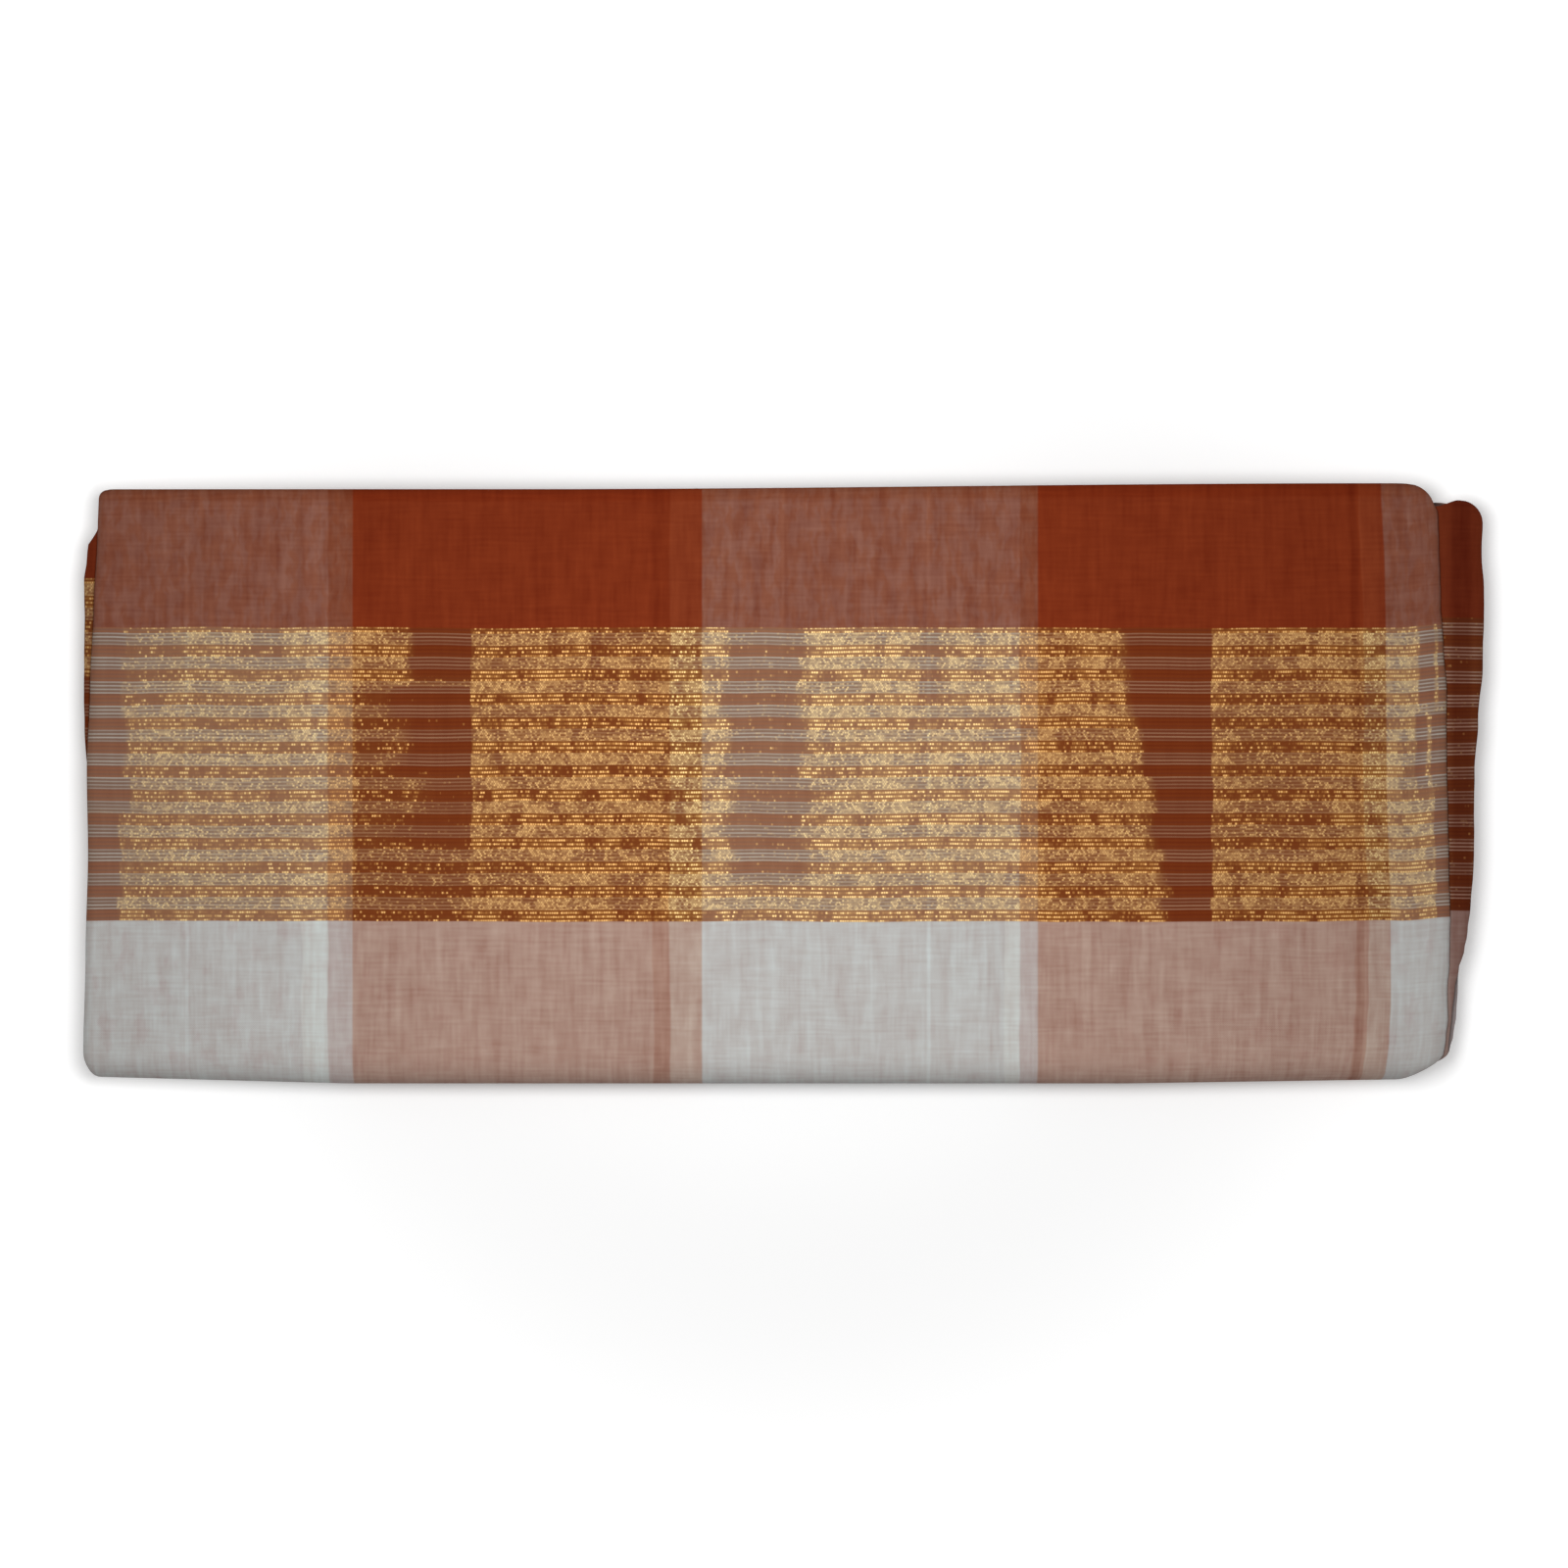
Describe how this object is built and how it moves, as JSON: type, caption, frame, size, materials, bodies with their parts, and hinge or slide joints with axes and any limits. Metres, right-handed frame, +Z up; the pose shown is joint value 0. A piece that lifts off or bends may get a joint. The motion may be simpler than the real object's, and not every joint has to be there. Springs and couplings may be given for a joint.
{
  "type": "saree",
  "caption": "Handloom saree folded to a flat bundle: pale and brown cross stripes, brick-red border and a band of pale and gold lines.",
  "frame": {"origin": "on the surface that the bundle lies on, under its middle", "axes": "+X along the bundle, the cloth's length; +Y towards its open long side; +Z up from the surface"},
  "size_m": [0.6829, 0.2928, 0.022],
  "materials": {
    "outer_cloth": "matte handloom cotton with gold thread lines in the border band",
    "inner_cloth": "matte handloom cotton, edges of many plies",
    "brown_fold_cloth": "matte handloom cotton, brown stripe",
    "pale_fold_cloth": "matte handloom cotton, pale stripe"
  },
  "bodies": {
    "root": {"outer_panel": "outer_cloth", "inner_layers": "inner_cloth", "right_under_fold": "brown_fold_cloth", "right_pale_fold": "pale_fold_cloth", "left_under_fold": "brown_fold_cloth"}
  },
  "joints": []
}
